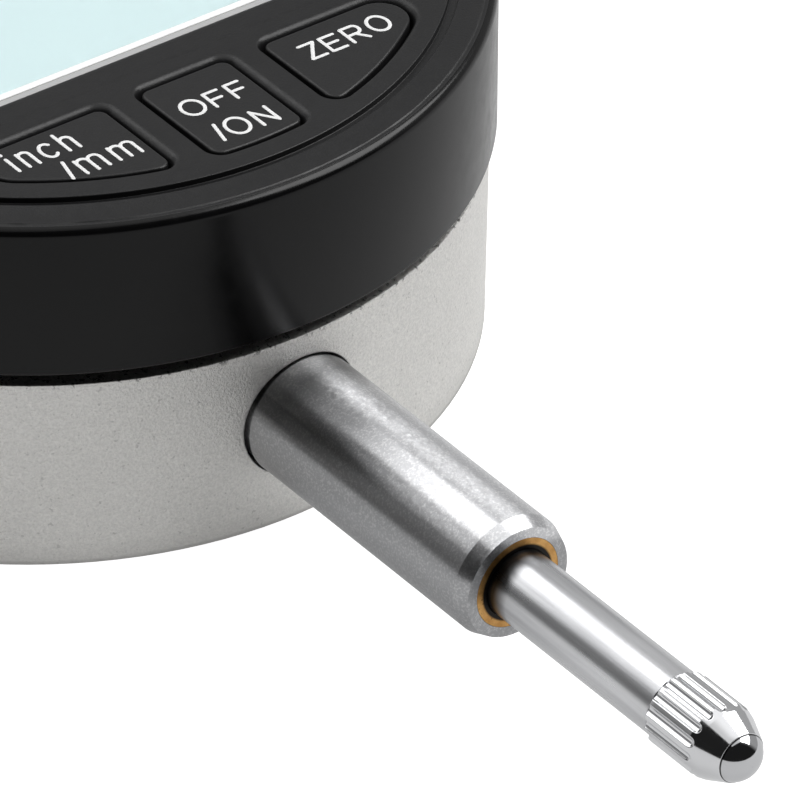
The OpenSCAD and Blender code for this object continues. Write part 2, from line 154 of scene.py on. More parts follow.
def circle(r, n):
    return [(r * cos(2 * pi * i / n), r * sin(2 * pi * i / n)) for i in range(n)]


def window_outline(g):
    """The display opening, grown by g."""
    r = max(0.8 + g, 0.15)
    x = WIN_X + g - r
    top = WIN_Y1 + g - r
    foot = WIN_Y0 - g + r
    return (arc(x, top, r, 0, 90) + arc(-x, top, r, 90, 180) + arc(-x, foot, r, 180, 270)
            + arc(x, foot, r, 270, 360))


def heading(x, y):
    return 360 + degrees(atan2(y, x))


def middle_key_outline(g):
    """The middle key, grown by g: straight top and sides, and a round bottom edge."""
    r = 0.7 + g
    big = KEY_OUTER_R + g
    cx = KEY_HALF_W + g - r
    cy = -sqrt((big - r) ** 2 - cx * cx)
    top = KEY_TOP_Y + g - r
    left = heading(-cx, cy)
    right = heading(cx, cy)
    return (arc(cx, top, r, 0, 90) + arc(-cx, top, r, 90, 180) + arc(-cx, cy, r, 180, left)
            + arc(0, 0, big, left, right, 16)[1:-1] + arc(cx, cy, r, right, 360))


def side_key_outline(g):
    """The right-hand key, grown by g."""
    r = 0.7 + g
    ro = 1.8 + g
    big = KEY_OUTER_R + g
    top = KEY_TOP_Y + g
    ix = SIDE_KEY_X - g + r
    iy = -sqrt((big - r) ** 2 - ix * ix)
    oy = top - ro
    ox = sqrt((big - ro) ** 2 - oy * oy)
    inner = heading(ix, iy)
    outer = heading(ox, oy)
    return (arc(ix, top - r, r, 90, 180) + arc(ix, iy, r, 180, inner)
            + arc(0, 0, big, inner, outer, 20)[1:-1] + arc(ox, oy, ro, outer, 450, 14))


def unit_key_outline(g):
    """The left-hand key, the mirror image of the right-hand one, grown by g."""
    return [(-x, y) for x, y in reversed(side_key_outline(g))]


def rounded(corners, steps=5):
    """A profile through (x, y, radius) corners, where a corner's radius makes it an arc."""
    out = []
    last = len(corners) - 1
    for i, (x, y, r) in enumerate(corners):
        if r == 0 or i in (0, last):
            out.append((x, y))
            continue
        here = Vector((x, y))
        back = (Vector(corners[i - 1][:2]) - here).normalized()
        ahead = (Vector(corners[i + 1][:2]) - here).normalized()
        half = back.angle(ahead) / 2
        centre = here + (back + ahead).normalized() * (r / sin(half))
        start = here + back * (r / tan(half)) - centre
        end = here + ahead * (r / tan(half)) - centre
        sweep = pi - 2 * half
        for k in range(steps + 1):
            t = k / steps
            spoke = (start * sin((1 - t) * sweep) + end * sin(t * sweep)) / sin(sweep)
            out.append(tuple(centre + spoke))
    return out


# ---- mesh building ----

class Skin:
    """A mesh being built in millimetres from loops of points."""

    def __init__(self):
        self.bm = bmesh.new()

    def ring(self, points):
        """Vertices at (x, y, z) points."""
        return [self.bm.verts.new(p) for p in points]

    def loop(self, outline, z):
        return self.ring([(x, y, z) for x, y in outline])

    def band(self, a, b):
        """Quads between two closed loops."""
        n = len(a)
        for i in range(n):
            self.bm.faces.new((a[i], a[(i + 1) % n], b[(i + 1) % n], b[i]))

    def bands(self, loops):
        for a, b in zip(loops, loops[1:]):
            self.band(a, b)

    def cap(self, loop):
        self.bm.faces.new(loop)

    def slab(self, outline, z0, z1):
        """An upright block with the given outline."""
        low = self.loop(outline, z0)
        high = self.loop(outline, z1)
        self.band(low, high)
        self.cap(low)
        self.cap(high)

    def fill(self, loops):
        """A flat region between an outer loop and the loops inside it."""
        edges = []
        for loop in loops:
            for i, v in enumerate(loop):
                pair = (v, loop[(i + 1) % len(loop)])
                edges.append(self.bm.edges.get(pair) or self.bm.edges.new(pair))
        bmesh.ops.triangle_fill(self.bm, use_beauty=True, edges=edges, normal=(0, 0, 1))

    def lathe(self, profile, steps, place, squeeze=None):
        """A closed surface turned from (height, radius) points; both end points lie on the axis."""
        loops = []
        for s, r in profile[1:-1]:
            angles = [2 * pi * i / steps for i in range(steps)]
            radii = [squeeze(s, a, r) if squeeze else r for a in angles]
            loops.append(self.ring([place(s, q * cos(a), q * sin(a))
                                    for a, q in zip(angles, radii)]))
        self.bands(loops)
        for s, loop in ((profile[0][0], loops[0]), (profile[-1][0], loops[-1])):
            tip = self.bm.verts.new(place(s, 0, 0))
            for i, v in enumerate(loop):
                self.bm.faces.new((v, loop[(i + 1) % steps], tip))

    def tube(self, path, radius, sides=10, closed=False, flat=1.0, up=Vector((0, 0, 1))):
        """A round tube along a path, with domed ends. flat squeezes it along up."""
        path = [Vector(p) for p in path]
        n = len(path)
        loops = []
        for i, here in enumerate(path):
            before = path[(i - 1) % n] if closed or i > 0 else here
            after = path[(i + 1) % n] if closed or i < n - 1 else here
            way = (after - before).normalized()
            side = way.cross(up).normalized()
            rise = side.cross(way).normalized() * flat
            spots = [(here, 1.0)]
            if not closed and i == 0:
                spots = [(here - way * radius * q, w) for q, w in DOME]
            if not closed and i == n - 1:
                spots = [(here + way * radius * q, w) for q, w in reversed(DOME)]
            for spot, w in spots:
                loops.append(self.ring([
                    spot + (side * cos(a) + rise * sin(a)) * radius * w
                    for a in [2 * pi * k / sides for k in range(sides)]]))
        self.bands(loops)
        if closed:
            self.band(loops[-1], loops[0])
        else:
            self.cap(loops[0])
            self.cap(loops[-1])

    def mesh(self, name, pick=None):
        """The finished smooth mesh. pick gives a face's look number from its centre and normal."""
        bmesh.ops.recalc_face_normals(self.bm, faces=self.bm.faces)
        for face in self.bm.faces:
            face.smooth = True
            if pick:
                face.material_index = pick(face.calc_center_median(), face.normal)
        return baked(self.bm, name)

    def done(self, name, looks, angle=35, pick=None):
        """Makes the object in metres."""
        return finish_piece(name, self.mesh(name, pick), looks, angle)


DOME = [(cos(radians(a)), sin(radians(a))) for a in (8, 30, 60, 90)]


def baked(bm, name="cutter"):
    mesh = bpy.data.meshes.new(name)
    bm.to_mesh(mesh)
    bm.free()
    return mesh


def added(name, mesh):
    """A new object in the scene."""
    piece = bpy.data.objects.new(name, mesh)
    scene.collection.objects.link(piece)
    return piece


def finish_piece(name, mesh, looks, angle):
    """Turns a millimetre mesh into a piece in metres, with smooth shading up to an angle."""
    mesh.transform(Matrix.Scale(MM, 4))
    mesh.set_sharp_from_angle(angle=radians(angle))
    for look in looks:
        mesh.materials.append(look)
    return added(name, mesh)


def block_mesh(corners, turn=0.0):
    """A box between two corners, turned about the case axis, for use as a cutter."""
    (x0, y0, z0), (x1, y1, z1) = corners
    bm = bmesh.new()
    bmesh.ops.create_cube(bm, size=1)
    size = Matrix.Diagonal((x1 - x0, y1 - y0, z1 - z0, 1))
    move = Matrix.Translation(((x0 + x1) / 2, (y0 + y1) / 2, (z0 + z1) / 2))
    bm.transform(Matrix.Rotation(turn, 4, "Z") @ move @ size)
    return baked(bm)


def post_mesh(x, y, r, z0, z1, sides=32):
    """An upright pin, for use as a cutter."""
    skin = Skin()
    skin.slab([(x + px, y + py) for px, py in circle(r, sides)], z0, z1)
    bmesh.ops.recalc_face_normals(skin.bm, faces=skin.bm.faces)
    return baked(skin.bm)


def joined(meshes):
    bm = bmesh.new()
    for mesh in meshes:
        bm.from_mesh(mesh)
    return baked(bm)


def cut(mesh, cutter, operation):
    """The mesh after an exact boolean with a cutter mesh."""
    body = added("scratch", mesh)
    tool = added("scratch", cutter)
    change = body.modifiers.new("cut", "BOOLEAN")
    change.object = tool
    change.operation = operation
    change.solver = "EXACT"
    change.use_self = operation != "INTERSECT"
    graph = bpy.context.evaluated_depsgraph_get()
    result = bpy.data.meshes.new_from_object(body.evaluated_get(graph))
    for used in (body, tool):
        bpy.data.objects.remove(used)
    return result


# ---- materials ----

def set_sockets(node, **values):
    """Sets a node's input sockets. A name has _ for a space."""
    for key, value in values.items():
        node.inputs[key.replace("_", " ")].default_value = value


def add_node(tree, kind, links=(), **values):
    """Adds a node, sets its sockets and links others into it."""
    node = tree.nodes.new(kind)
    set_sockets(node, **values)
    for key, socket in links:
        tree.links.new(socket, node.inputs[key])
    return node


CASE_GRAIN = 0.17


def part_of(colour, share):
    """A darker shade of a colour."""
    return tuple(share * c for c in colour)


class Look:
    """A procedural material. Sizes of its detail are in millimetres of the object's own space."""

    def __init__(self, name, colour, **sockets):
        self.material = bpy.data.materials.new(name)
        self.material.use_nodes = True
        self.tree = self.material.node_tree
        self.shader = self.tree.nodes["Principled BSDF"]
        set_sockets(self.shader, Base_Color=(*colour, 1), **sockets)
        self.normal = None
        self.place = self.node("ShaderNodeTexCoord").outputs["Object"]

    def node(self, kind, links=(), **values):
        return add_node(self.tree, kind, links, **values)

    def spots(self, stretch=(1, 1, 1)):
        scale = [1 / (MM * s) for s in stretch]
        return self.node("ShaderNodeMapping", [("Vector", self.place)], Scale=scale).outputs[0]

    def noise(self, size, detail=2.0, stretch=(1, 1, 1), rough=0.55):
        """Cloudy noise with features of the given size."""
        return self.node("ShaderNodeTexNoise", [("Vector", self.spots(stretch))], Scale=1 / size,
                         Detail=detail, Roughness=rough).outputs[0]

    def cells(self, size):
        """Distance from the nearest point of a scattered grid."""
        return self.node("ShaderNodeTexVoronoi", [("Vector", self.spots())],
                         Scale=1 / size).outputs["Distance"]

    def axis(self, name):
        """One coordinate, in millimetres."""
        return self.node("ShaderNodeSeparateXYZ", [("Vector", self.spots())]).outputs[name]

    def distance(self, centre, turn_axis):
        """Distance from a centre in millimetres, measured across the axis named X, Y or Z."""
        flat = [0 if axis == turn_axis else 1 for axis in "XYZ"]
        moved = self.vector("SUBTRACT", self.spots(), centre)
        across = self.vector("MULTIPLY", moved.outputs[0], flat)
        return self.vector("LENGTH", across.outputs[0]).outputs["Value"]

    def vector(self, operation, a, b=(0, 0, 0)):
        node = self.node("ShaderNodeVectorMath", [(0, a)])
        node.operation = operation
        node.inputs[1].default_value = b
        return node

    def ripples(self, distance, pitch):
        """Rings of the given pitch along a distance, from 0 to 1."""
        scaled = self.math("MULTIPLY", distance, 2 * pi / pitch)
        return self.remap(self.math("SINE", scaled), -1, 1)

    def bars(self, name, pitch, soft=0.05):
        """Stripes of the given pitch along an axis, 0 or 1 with a soft step."""
        return self.remap(self.ripples(self.axis(name), pitch), 0.5 - soft, 0.5 + soft)

    def math(self, operation, a, b=None):
        node = self.node("ShaderNodeMath", [(0, a)])
        node.operation = operation
        if isinstance(b, (int, float)):
            node.inputs[1].default_value = b
        elif b is not None:
            self.tree.links.new(b, node.inputs[1])
        return node.outputs[0]

    def remap(self, value, a, b, c=0, d=1):
        node = self.node("ShaderNodeMapRange", [("Value", value)])
        for key, number in zip(("From Min", "From Max", "To Min", "To Max"), (a, b, c, d)):
            node.inputs[key].default_value = number
        return node.outputs[0]

    def blend(self, value, colour_a, colour_b):
        """A colour between two, each a triple or another colour socket."""
        node = self.node("ShaderNodeMix")
        node.data_type = "RGBA"
        self.tree.links.new(value, node.inputs["Factor"])
        for socket, colour in ((node.inputs[6], colour_a), (node.inputs[7], colour_b)):
            if isinstance(colour, tuple):
                socket.default_value = (*colour, 1)
            else:
                self.tree.links.new(colour, socket)
        return node.outputs[2]

    def feed(self, key, socket):
        self.tree.links.new(socket, self.shader.inputs[key])

    def colour(self, socket):
        self.feed("Base Color", socket)

    def mottle(self, size, tone_a, tone_b, detail=3):
        """A colour that drifts between two tones."""
        self.colour(self.blend(self.noise(size, detail), tone_a, tone_b))

    def roughness(self, value, low, high):
        self.feed("Roughness", self.remap(value, 0.25, 0.75, low, high))

    def satin(self, size, low, high, detail=2):
        """A roughness that drifts between two values."""
        self.roughness(self.noise(size, detail), low, high)

    def soft_edges(self, radius):
        """Rounds the shading over edges."""
        node = self.node("ShaderNodeBevel", Radius=radius * MM)
        node.samples = 4
        self.normal = node.outputs[0]

    def turned(self, amount):
        """Stretches reflections along Y, as fine turning marks round a shaft do."""
        node = self.node("ShaderNodeTangent")
        node.direction_type = "RADIAL"
        node.axis = "Y"
        self.feed("Tangent", node.outputs[0])
        set_sockets(self.shader, Anisotropic=amount, Anisotropic_Rotation=0.25)

    def bump(self, height, depth):
        """Adds relief of the given depth in millimetres, and gives the material."""
        node = self.node("ShaderNodeBump", [("Height", height)], Distance=depth * MM)
        if self.normal:
            self.tree.links.new(self.normal, node.inputs["Normal"])
        self.normal = node.outputs[0]
        self.feed("Normal", self.normal)
        return self.material

    def relief(self, size, depth, **detail):
        """Adds bumps of the given size and depth, and gives the material."""
        return self.bump(self.noise(size, **detail), depth)


def case_metal():
    """Bead-blasted aluminium: a fine grain, faint clouds, a few dark pits, painted shade along its lower
    edge and small chips along the front edge."""
    silver = (0.93, 0.92, 0.895)
    look = Look("case_metal_look", silver, Metallic=1, Roughness=0.48)
    height = look.axis("Z")
    clouds = look.remap(look.noise(9, detail=3), 0.3, 0.7)
    fine = look.noise(CASE_GRAIN, detail=3, rough=0.7)
    # Painted shade near the floor: the colour darkens towards the bottom, most along the lower edge.
    bottom_shade = look.math("MAXIMUM", look.remap(height, 0.2, 1.6, 0.3, 0),
                     look.remap(height, 0.12, 0.4, 0.9, 0))
    edge = look.remap(height, CASE_TOP_Z - 0.35, CASE_TOP_Z - 0.05)
    chips = look.remap(look.noise(0.5, detail=4, rough=0.7), 0.57, 0.61, 0, 0.8)
    pits = look.remap(look.noise(CASE_GRAIN * 1.8, detail=1), 0.25, 0.31, 0.5, 0)
    base = look.blend(clouds, part_of(silver, 0.95), silver)
    base = look.blend(look.remap(fine, 0.35, 0.65, 0.5, 0), base, part_of(silver, 0.6))
    base = look.blend(bottom_shade, base, part_of(silver, 0.6))
    base = look.blend(look.math("MULTIPLY", edge, chips), base, part_of(silver, 0.12))
    look.colour(look.blend(pits, base, part_of(silver, 0.5)))
    look.satin(CASE_GRAIN, 0.4, 0.56)
    look.soft_edges(0.12)
    return look.bump(fine, 0.09)


def turned_metal(name, colour, roughness, centre, turn_axis, pitch=0.12, depth=0.002):
    """Lathe-turned metal: fine rings round an axis."""
    look = Look(name, colour, Metallic=1, Roughness=roughness)
    rings = look.ripples(look.distance(centre, turn_axis), pitch)
    look.mottle(4, colour, part_of(colour, 0.86))
    look.satin(0.5, roughness - 0.06, roughness + 0.08)
    look.soft_edges(0.06)
    look.bump(rings, depth)
    return look.relief(0.15, depth)


def cover_metal():
    return turned_metal("cover_metal_look", (0.62, 0.615, 0.60), 0.36, (0, 0, 0), "Z", pitch=0.35)


def stem_steel():
    """Ground steel: sparkling grain, faint lengthwise streaks, turned rings on its end, and painted dark
    reflections that dull its underside and darken its root."""
    look = Look("stem_steel_look", (0.66, 0.665, 0.68), Metallic=1, Roughness=0.32)
    look.turned(0.9)
    height = look.axis("Z")
    along = look.axis("Y")
    # Painted dark reflections: the underside, the root and a trail along the upper flank are darkened in
    # the colour; film gathers them.
    under_reflection = look.remap(height, AXIS_Z + 1.7, AXIS_Z + 2.5, 0.44, 0)
    upper = look.remap(height, AXIS_Z + 1.3, AXIS_Z + 2.0)
    flank = look.remap(height, AXIS_Z + 2.7, AXIS_Z + 3.2, 1, 0)
    root = look.math("MULTIPLY", upper, look.remap(along, ROOT_Y - 2.5, ROOT_Y, 0, 0.65))
    trail_reflection = look.math("MULTIPLY", upper, look.remap(along, ROOT_Y - 11, ROOT_Y, 0, 0.75))
    trail_reflection = look.math("MULTIPLY", trail_reflection, flank)
    film = look.math("MAXIMUM", under_reflection, look.math("MAXIMUM", root, trail_reflection))
    grain = look.noise(0.09, detail=2, stretch=(1, 0.7, 1), rough=0.6)
    streaks = look.noise(1.2, detail=3, stretch=(1, 14, 1))
    steel = look.blend(streaks, (0.61, 0.615, 0.63), (0.75, 0.755, 0.77))
    sparks = look.remap(look.noise(0.16, detail=2, rough=0.7), 0.5, 0.62, 0, 0.95)
    steel = look.blend(sparks, steel, (0.92, 0.92, 0.93))
    look.colour(look.blend(film, steel, (0.02, 0.02, 0.022)))
    look.satin(0.3, 0.28, 0.37)
    spread = look.distance((0, 0, AXIS_Z), "Y")
    end = look.remap(spread, 3.7, 3.9, 1, 0)
    look.bump(look.math("MULTIPLY", look.ripples(spread, 0.11), end), 0.006)
    return look.bump(grain, 0.0013)


def spindle_steel():
    """Polished steel with fine lengthwise scratches, painted shade where it enters the bush, and a dark
    line at the shoulder joint.
    """
    look = Look("spindle_steel_look", (0.66, 0.665, 0.68), Metallic=1, Roughness=0.2)
    look.turned(0.3)
    scratches = look.noise(0.12, detail=2, stretch=(1, 60, 1))
    streaks = look.noise(0.7, detail=3, stretch=(1, 25, 1))
    steel = look.blend(look.remap(streaks, 0.35, 0.65), (0.52, 0.525, 0.54), (0.72, 0.725, 0.74))
    # Painted shade: bush darkens the steel where it comes out of the bore; joint darkens a thin line at
    # the shoulder.
    bush = look.remap(look.axis("Y"), STEM_LOW.y - 1.7, STEM_LOW.y - 0.5, 0, 0.98)
    joint = look.remap(look.axis("Y"), -SHOULDER + 0.02, -SHOULDER + 0.14, 0.95, 0)
    look.colour(look.blend(look.math("MAXIMUM", bush, joint), steel, (0.05, 0.052, 0.056)))
    look.roughness(look.noise(0.8, detail=3, stretch=(1, 10, 1)), 0.25, 0.35)
    return look.bump(scratches, 0.003)


def contact_chrome():
    look = Look("contact_chrome_look", (0.74, 0.745, 0.76), Metallic=1, Roughness=0.05)
    look.mottle(1.5, (0.70, 0.705, 0.72), (0.76, 0.765, 0.78), detail=2)
    look.satin(0.5, 0.08, 0.13, detail=3)
    return look.relief(0.6, 0.0002, detail=1)


def ball_steel():
    """Polished steel, with a painted shade line where the ball sits in its seat."""
    look = Look("ball_steel_look", (0.72, 0.725, 0.74), Metallic=1, Roughness=0.06)
    steel = look.blend(look.noise(2), (0.58, 0.585, 0.60), (0.63, 0.635, 0.65))
    # Painted shade: the ball turns near black where it sits inside the seat.
    seat_shade = look.remap(look.axis("Y"), -TIP_END - 0.1, -TIP_END - 0.05)
    look.colour(look.blend(seat_shade, steel, (0.03, 0.03, 0.03)))
    look.satin(0.4, 0.04, 0.08, detail=3)
    return look.relief(0.3, 0.0002)


def bush_bronze():
    """Oiled bronze: warm, with darker stains, small pits and painted shade along its inner edge."""
    look = Look("bush_bronze_look", (0.62, 0.36, 0.12), Metallic=1, Roughness=0.36)
    stains = look.noise(0.9, detail=4, rough=0.65)
    pits = look.remap(look.noise(0.22, detail=1), 0.22, 0.32, 0.5, 0)
    base = look.blend(look.remap(stains, 0.35, 0.65), (0.50, 0.26, 0.08), (0.72, 0.42, 0.15))
    base = look.blend(pits, base, (0.12, 0.06, 0.02))
    # Painted shade: the bronze turns near black close to the bore, round the spindle's clearance.
    bore_shade = look.remap(look.distance((0, 0, AXIS_Z), "Y"), GRIP_R + 0.03, GRIP_R + 0.16, 1, 0)
    look.colour(look.blend(bore_shade, base, (0.02, 0.018, 0.016)))
    look.satin(0.2, 0.28, 0.45)
    return look.relief(0.25, 0.006, detail=3)


def cap_metal():
    return turned_metal("cap_metal_look", (0.62, 0.62, 0.63), 0.24, (0, 0, AXIS_Z), "Y")


def frame_metal():
    """Milled aluminium of the inner parts, with straight cutter marks."""
    look = Look("frame_metal_look", (0.66, 0.66, 0.67), Metallic=1, Roughness=0.38)
    look.mottle(5, (0.58, 0.58, 0.59), (0.70, 0.70, 0.71))
    look.satin(0.4, 0.3, 0.46)
    look.soft_edges(0.1)
    return look.bump(look.noise(0.12, detail=1, stretch=(1, 12, 1)), 0.004)


def screw_steel():
    look = Look("screw_steel_look", (0.55, 0.55, 0.56), Metallic=1, Roughness=0.3)
    look.mottle(1.2, (0.42, 0.42, 0.43), (0.62, 0.62, 0.63))
    look.satin(0.3, 0.22, 0.4)
    look.soft_edges(0.08)
    return look.relief(0.1, 0.003)


def spring_steel():
    look = Look("spring_steel_look", (0.50, 0.50, 0.52), Metallic=1, Roughness=0.25)
    look.mottle(0.8, (0.40, 0.40, 0.42), (0.58, 0.58, 0.60), detail=2)
    look.satin(0.2, 0.18, 0.34)
    return look.relief(0.06, 0.001, detail=1)


def crystal_can():
    return turned_metal("crystal_can_look", (0.68, 0.68, 0.69), 0.2, (0, 0, 0), "Y", pitch=0.5)


def cell_steel():
    return turned_metal("cell_steel_look", (0.66, 0.66, 0.67), 0.18, (0, 18.6, 0), "Z", pitch=0.25)


def contact_gold():
    look = Look("contact_gold_look", (0.80, 0.56, 0.20), Metallic=1, Roughness=0.22)
    look.mottle(1.5, (0.70, 0.47, 0.15), (0.86, 0.62, 0.25))
    look.satin(0.25, 0.16, 0.3)
    return look.bump(look.noise(0.12, detail=1, stretch=(8, 1, 1)), 0.001)


def electrode_copper():
    """Gold-flashed copper bars on a dark green solder mask."""
    look = Look("electrode_copper_look", (0.62, 0.38, 0.14), Metallic=0.6, Roughness=0.3)
    bars = look.bars("Y", 0.8)
    look.colour(look.blend(bars, (0.01, 0.06, 0.03), (0.78, 0.52, 0.20)))
    look.satin(0.3, 0.24, 0.4)
    return look.bump(bars, 0.02)


def rubber(name, colour, roughness=0.7, grain=0.15):
    look = Look(name, colour, Roughness=roughness)
    look.mottle(1.5, part_of(colour, 0.75), colour)
    look.satin(0.4, roughness - 0.1, roughness + 0.1)
    return look.relief(grain, 0.01, detail=3)


def seal_rubber():
    return rubber("seal_rubber_look", (0.022, 0.022, 0.023))


def pad_rubber():
    return rubber("pad_rubber_look", (0.25, 0.25, 0.26))


def connector_rubber():
    """Striped rubber: thin conducting layers, black on pale pink."""
    look = Look("connector_rubber_look", (0.5, 0.4, 0.38), Roughness=0.6)
    stripes = look.bars("X", 0.3, soft=0.1)
    look.colour(look.blend(stripes, (0.62, 0.44, 0.42), (0.02, 0.02, 0.02)))
    look.satin(0.3, 0.5, 0.7)
    return look.relief(0.2, 0.006)


def epoxy_black():
    return rubber("epoxy_black_look", (0.012, 0.012, 0.013), roughness=0.22, grain=0.8)


def port_plastic():
    return rubber("port_plastic_look", (0.03, 0.03, 0.03), roughness=0.45)


def carrier_plastic():
    return rubber("carrier_plastic_look", (0.72, 0.72, 0.70), roughness=0.45)


def circuit_board():
    """Green solder mask with a faint pattern of tracks underneath."""
    look = Look("circuit_board_look", (0.01, 0.10, 0.04), Roughness=0.3)
    tracks = look.remap(look.cells(1.6), 0.42, 0.46)
    weave = look.ripples(look.axis("X"), 0.5)
    base = look.blend(weave, (0.008, 0.075, 0.03), (0.012, 0.095, 0.04))
    look.colour(look.blend(tracks, base, (0.02, 0.17, 0.07)))
    look.satin(0.5, 0.25, 0.4)
    return look.bump(tracks, 0.015)


def scale_board():
    """The moving scale: fine bars across its length."""
    look = Look("scale_board_look", (0.02, 0.12, 0.06), Roughness=0.3)
    bars = look.bars("Y", 0.6)
    look.colour(look.blend(bars, (0.012, 0.10, 0.05), (0.55, 0.40, 0.14)))
    look.satin(0.4, 0.22, 0.38)
    return look.bump(bars, 0.01)


def ribbon_film():
    """Amber film with copper tracks showing through."""
    look = Look("ribbon_film_look", (0.55, 0.25, 0.04), Roughness=0.3)
    tracks = look.bars("X", 0.75, soft=0.1)
    look.colour(look.blend(tracks, (0.42, 0.17, 0.02), (0.72, 0.38, 0.10)))
    look.satin(0.4, 0.24, 0.36)
    return look.bump(tracks, 0.01)


def bezel_plastic():
    """The satin, lightly textured front of the bezel."""
    look = Look("face_plastic_look", (0.010, 0.010, 0.0105), Roughness=0.36, Specular_IOR_Level=0.3)
    look.mottle(3.5, (0.007, 0.007, 0.0075), (0.012, 0.012, 0.0125))
    look.satin(0.5, 0.31, 0.41, detail=3)
    return look.relief(0.15, detail=2, rough=0.6, depth=0.013)


def wall_plastic():
    """The smoother, semi-gloss side of the bezel."""
    look = Look("wall_plastic_look", (0.003, 0.003, 0.0032), Roughness=0.2, Specular_IOR_Level=0.22)
    look.mottle(4, (0.002, 0.002, 0.0022), (0.004, 0.004, 0.0042))
    look.satin(1.2, 0.16, 0.26, detail=4)
    look.relief(1.5, 0.002)
    return look.relief(0.2, 0.0008)


def key_plastic():
    look = Look("key_plastic_look", (0.009, 0.009, 0.0095), Roughness=0.36, Specular_IOR_Level=0.33)
    look.mottle(2.5, (0.007, 0.007, 0.0075), (0.011, 0.011, 0.0115))
    look.satin(0.4, 0.33, 0.43, detail=3)
    return look.relief(0.15, detail=2, rough=0.6, depth=0.013)


def label_ink():
    """White printed ink, slightly uneven."""
    look = Look("label_ink_look", (0.78, 0.78, 0.78), Roughness=0.5)
    look.mottle(0.3, (0.72, 0.72, 0.72), (0.84, 0.84, 0.84))
    look.satin(0.2, 0.45, 0.65)
    return look.relief(0.08, 0.004)


def digit_ink():
    """Dark display segments."""
    look = Look("digit_ink_look", (0.02, 0.028, 0.03), Roughness=0.4)
    look.mottle(1.5, (0.016, 0.022, 0.024), (0.026, 0.034, 0.036), detail=2)
    look.satin(0.3, 0.35, 0.45)
    return look.relief(0.2, 0.001)


def display_glass():
    """The pale cyan back of the display, with a painted shadow of the frame along its border."""
    look = Look("display_glass_look", (0.45, 0.55, 0.56), Roughness=0.5)
    across = look.math("SUBTRACT", look.math("ABSOLUTE", look.axis("X")), WIN_X - FRAME_BAND)
    middle = (WIN_Y0 + WIN_Y1) / 2
    half = (WIN_Y1 - WIN_Y0) / 2 - FRAME_BAND
    height = look.math("ABSOLUTE", look.math("SUBTRACT", look.axis("Y"), middle))
    along = look.math("SUBTRACT", height, half)
    # Painted shadow: edge darkens the colour towards the frame's inner edge.
    edge = look.remap(look.math("MAXIMUM", across, along), -1.2, 0.1)
    clouds = look.blend(look.noise(6, detail=2), (0.445, 0.545, 0.555), (0.455, 0.555, 0.565))
    look.colour(look.blend(look.math("POWER", edge, 3), clouds, (0.27, 0.36, 0.35)))
    look.satin(1.0, 0.48, 0.52)
    return look.relief(0.1, 0.0006, detail=1)


def window_clear():
    look = Look("window_clear_look", (0.97, 1.0, 1.0), Roughness=0.03, Transmission_Weight=1.0, IOR=1.49)
    look.satin(2, 0.02, 0.03)
    return look.relief(3, 0.0001, detail=1)


def frame_plastic():
    """Bright white plastic."""
    look = Look("frame_plastic_look", (0.94, 0.945, 0.945), Roughness=0.35)
    look.mottle(3, (0.92, 0.925, 0.925), (0.95, 0.955, 0.955))
    look.satin(0.6, 0.3, 0.42)
    return look.relief(0.3, 0.001)


def frame_shade():
    """The duller outer step of the display frame: the white frame plastic painted grey as shade."""
    look = Look("frame_shade_look", (0.42, 0.42, 0.42), Roughness=0.45)
    look.mottle(2, (0.40, 0.40, 0.40), (0.45, 0.45, 0.45))
    look.satin(0.5, 0.4, 0.52)
    return look.relief(0.25, 0.002)


SLOT_LOOKS = {make.__name__: make() for make in (
    case_metal, cover_metal, seal_rubber, screw_steel, stem_steel, bush_bronze, cap_metal, frame_metal,
    spring_steel, bezel_plastic, window_clear, frame_plastic, display_glass, connector_rubber,
    carrier_plastic, circuit_board, ribbon_film, pad_rubber, electrode_copper, epoxy_black, crystal_can,
    cell_steel, contact_gold, port_plastic, spindle_steel, contact_chrome, ball_steel, scale_board,
    key_plastic)}
WALL = wall_plastic()
INK = label_ink()
SEGMENT_INK = digit_ink()
SHADE = frame_shade()


def dress_frame():
    """Gives every CAD node the look of its material slot."""
    for node in frame["nodes"].values():
        for slot in node.material_slots:
            slot.material = SLOT_LOOKS[slot.material.name]
    frame["nodes"]["lcd_window"].visible_shadow = False


# ---- bezel, its door and its port cover ----

STEPS = 360


def outer_profile():
    """The bezel's outside from the groove's inner lip to the skirt: (radius, height)."""
    out_r = GROOVE_R + GROOVE_W
    ring_z = FACE_Z - 0.1
    low_z = FACE_Z - 0.4
    return rounded([
        (GROOVE_R - 0.15, FACE_Z, 0), (GROOVE_R, FACE_Z, 0.08), (GROOVE_R, low_z, 0.05),
        (out_r, low_z, 0.05), (out_r, ring_z, 0.07), (RIM_R - 0.1, RIM_Z + 0.03, 0),
        (RIM_R, RIM_Z + 0.05, 0.03), (RIM_R + 0.09, RIM_Z - 0.01, 0),
        (BEZEL_TOP_R - 0.02, RIM_Z - 0.02, RIM_ROUND - 0.12), (BEZEL_R, SKIRT_Z, 0.15),
        (BEZEL_R - 0.6, SKIRT_Z, 0)], steps=6)


def rim_wobble(r, z, angle):
    """The moulding seam on the rim is slightly uneven. It returns a radius and a height."""
    if not RIM_R - 0.09 < r < RIM_R + 0.085 or z < RIM_Z - 0.05:
        return r, z
    spot = Vector((cos(angle), sin(angle), 0)) * 22
    lift = noise.noise(spot) + 0.5 * noise.noise(spot * 4.1)
    return r + 0.02 * noise.noise(spot * 2.3), z + 0.028 * lift


def turned_rings(skin, profile):
    """Loops turned about the case axis, one for each (radius, height) point."""
    rings = []
    for r, z in profile:
        points = []
        for i in range(STEPS):
            a = 2 * pi * i / STEPS
            q, h = rim_wobble(r, z, a)
            points.append((q * cos(a), q * sin(a), h))
        rings.append(skin.ring(points))
    return rings


LIP_GROW = 0.62
LIP_SHIFT = (0.25, 0.28)
LIP_DEPTH = 0.5
LIP_GAP = 0.28
LIP_RISE = 0.1


